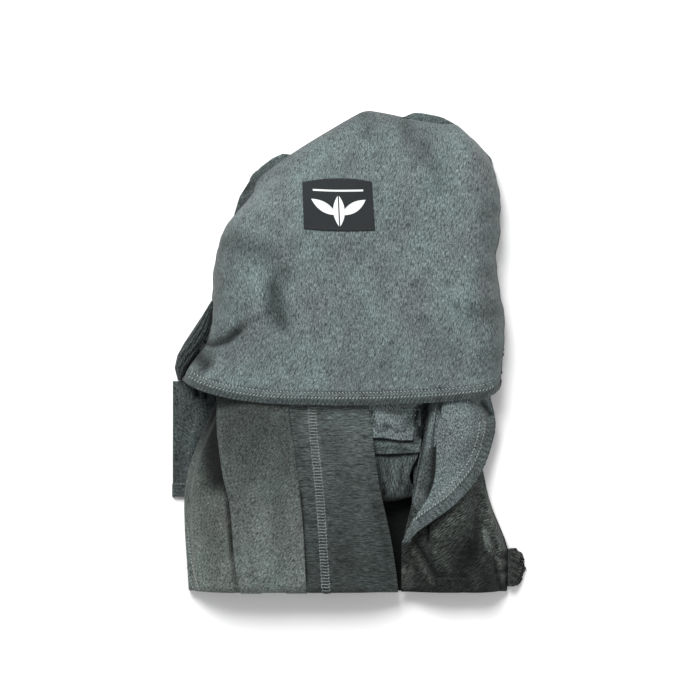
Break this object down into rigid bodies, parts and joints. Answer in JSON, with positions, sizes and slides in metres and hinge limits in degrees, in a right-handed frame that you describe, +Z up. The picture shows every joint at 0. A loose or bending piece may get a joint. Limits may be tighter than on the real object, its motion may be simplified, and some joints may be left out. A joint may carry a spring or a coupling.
{
  "type": "soft wrap baby carrier",
  "caption": "Soft baby carrier of dark heather jersey loops with a support band, folded flat and half pulled out of the storage pouch sewn into its sash.",
  "frame": {"origin": "middle of the base, where the folded carrier lies on a surface", "axes": "+Z up from the surface, +Y from the hanging folds of the loops towards the closed end of the pouch, +X to the right seen from above"},
  "size_m": [0.307, 0.4159, 0.0562],
  "materials": {
    "pouch_jersey": "matt heather grey stretch jersey, knit ribs running towards the closed end",
    "loop_jersey": "matt heather grey stretch jersey",
    "sash_jersey": "matt dark heather jersey",
    "thread": "polyester sewing thread, slight sheen",
    "label": null
  },
  "bodies": {
    "pouch": {"pouch_back": "pouch_jersey", "pouch_front": "pouch_jersey", "pouch_mouth_hem": "pouch_jersey", "mouth_stitching_lower": "thread", "mouth_stitching_upper": "thread", "woven_label": "label", "label_stitching_top": "thread", "label_stitching_bottom": "thread", "sash_gather": "sash_jersey", "sash_end": "sash_jersey", "sash_end_stitching": "thread"},
    "carrier": {"middle_loop_panel": "loop_jersey", "left_loop_panel": "loop_jersey", "seamed_loop_panel": "loop_jersey", "flatlock_seam": "thread", "left_loop_stitching": "thread", "support_band": "loop_jersey", "support_band_stitching": "thread", "support_band_lining": "loop_jersey", "inner_loop_panel": "loop_jersey", "pleat_inner": "loop_jersey", "pleat_outer": "loop_jersey", "swag_panel": "loop_jersey", "swag_hem": "loop_jersey", "swag_stitching_outer": "thread", "swag_stitching_inner": "thread", "lower_panel": "loop_jersey", "gathered_end": "loop_jersey", "lowest_loop_run": "loop_jersey", "left_folded_stack": "loop_jersey", "right_folded_stack": "loop_jersey"}
  },
  "joints": [
    {"name": "carrier_pull_out", "type": "slide", "parent": "pouch", "child": "carrier", "axis": [0, -1, 0], "range_m": [0, 0.23]}
  ]
}
